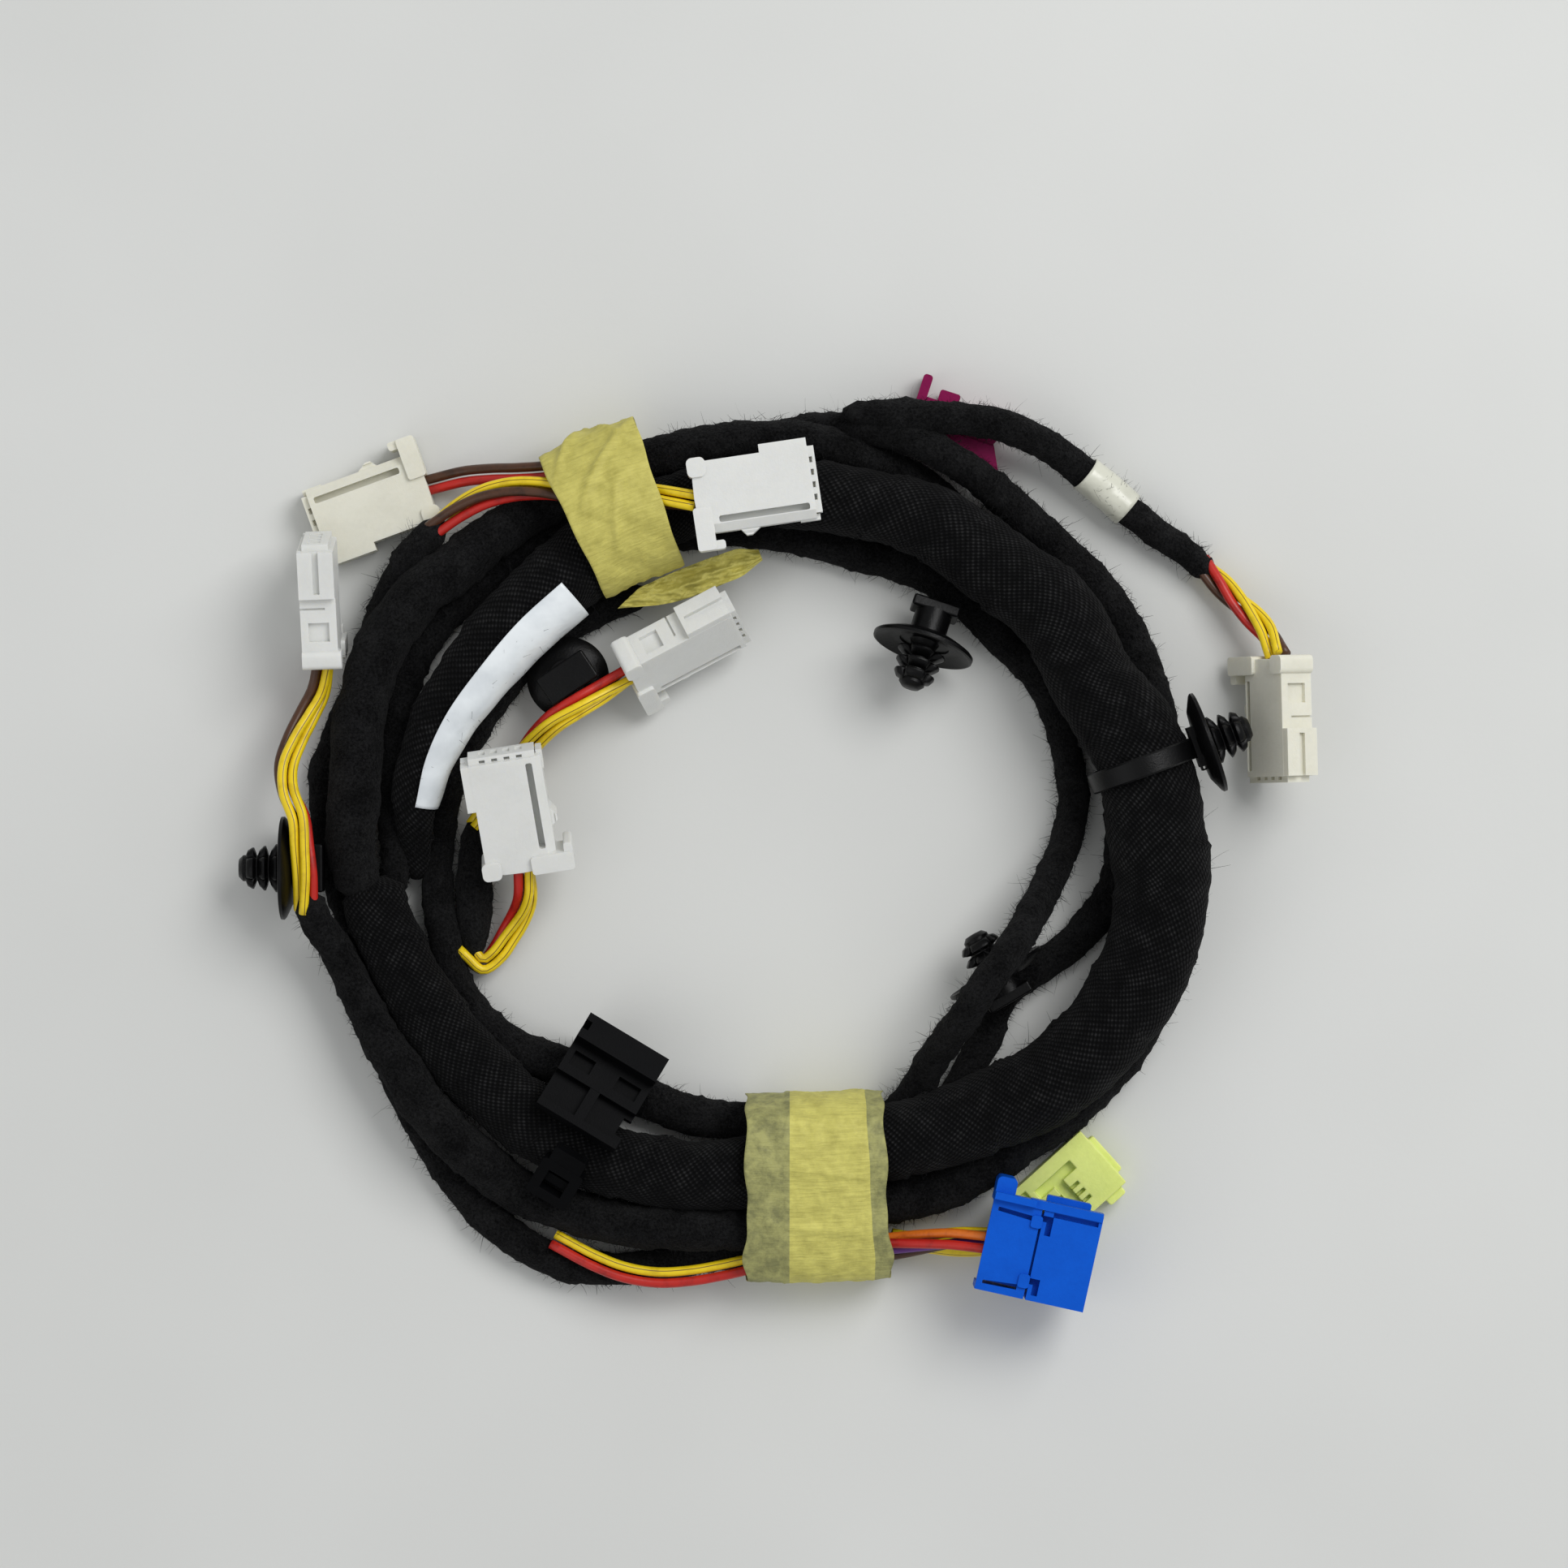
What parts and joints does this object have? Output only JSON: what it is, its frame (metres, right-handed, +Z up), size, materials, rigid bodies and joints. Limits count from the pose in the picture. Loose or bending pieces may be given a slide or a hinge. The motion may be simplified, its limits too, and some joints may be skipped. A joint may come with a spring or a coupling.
{
  "type": "coiled wiring harness",
  "caption": "Coiled vehicle wiring harness: fleece-taped branches, plug housings, fir-tree clips, labels and masking tape wraps.",
  "frame": {"origin": "bottom centre of the bounding box, on the surface that the coil lies on", "axes": "+Z up out of the surface, +X to the right and +Y to the top of the picture"},
  "size_m": [0.1562, 0.1358, 0.0217],
  "materials": {
    "fleece_tape": "fleece",
    "masking_tape": "matte creped",
    "label_paper": "gloss",
    "black_nylon": "satin",
    "white_plastic": "satin",
    "cream_plastic": "satin",
    "blue_plastic": "satin",
    "magenta_plastic": "satin",
    "green_plastic": "satin",
    "wire_brown": "gloss",
    "wire_red": "gloss",
    "wire_yellow": "gloss",
    "wire_violet": "gloss",
    "wire_orange": "gloss"
  },
  "bodies": {
    "root": {"trunk": "fleece_tape", "branch_outer": "fleece_tape", "branch_long": "fleece_tape", "branch_left": "fleece_tape", "branch_inner": "fleece_tape", "branch_label": "fleece_tape", "branch_stub": "fleece_tape", "masking_tape_top": "masking_tape", "masking_tape_bottom": "masking_tape", "masking_tape_tail": "masking_tape", "label_flag": "label_paper", "label_sleeve": "label_paper", "connector_top": "white_plastic", "connector_top_left": "cream_plastic", "connector_left": "white_plastic", "connector_centre": "white_plastic", "connector_middle_top": "white_plastic", "connector_right": "cream_plastic", "connector_blue": "blue_plastic", "connector_blue_cover": "blue_plastic", "connector_magenta": "magenta_plastic", "connector_green": "green_plastic", "clip_trunk": "black_nylon", "clip_left": "black_nylon", "clip_upper": "black_nylon", "clip_lower": "black_nylon", "clip_label": "black_nylon", "clip_channel": "black_nylon", "clip_buckle": "black_nylon", "lead_green": "wire_yellow", "lead_magenta": "wire_brown", "wire_blue_brown": "wire_brown", "wire_blue_orange": "wire_orange", "wire_blue_red": "wire_red", "wire_blue_violet": "wire_violet", "wire_blue_yellow": "wire_yellow", "wire_bottom_red": "wire_red", "wire_bottom_yellow": "wire_yellow", "wire_centre_brown": "wire_brown", "wire_centre_red": "wire_red", "wire_centre_yellow_1": "wire_yellow", "wire_centre_yellow_2": "wire_yellow", "wire_left_brown": "wire_brown", "wire_left_red": "wire_red", "wire_left_yellow_1": "wire_yellow", "wire_left_yellow_2": "wire_yellow", "wire_middle_top_brown": "wire_brown", "wire_middle_top_red": "wire_red", "wire_middle_top_yellow_1": "wire_yellow", "wire_middle_top_yellow_2": "wire_yellow", "wire_right_brown": "wire_brown", "wire_right_red": "wire_red", "wire_right_yellow_1": "wire_yellow", "wire_right_yellow_2": "wire_yellow", "wire_top_left_brown": "wire_brown", "wire_top_left_red": "wire_red", "wire_upper_left_brown": "wire_brown", "wire_upper_left_red": "wire_red", "wire_upper_left_yellow_1": "wire_yellow", "wire_upper_left_yellow_2": "wire_yellow"}
  },
  "joints": []
}
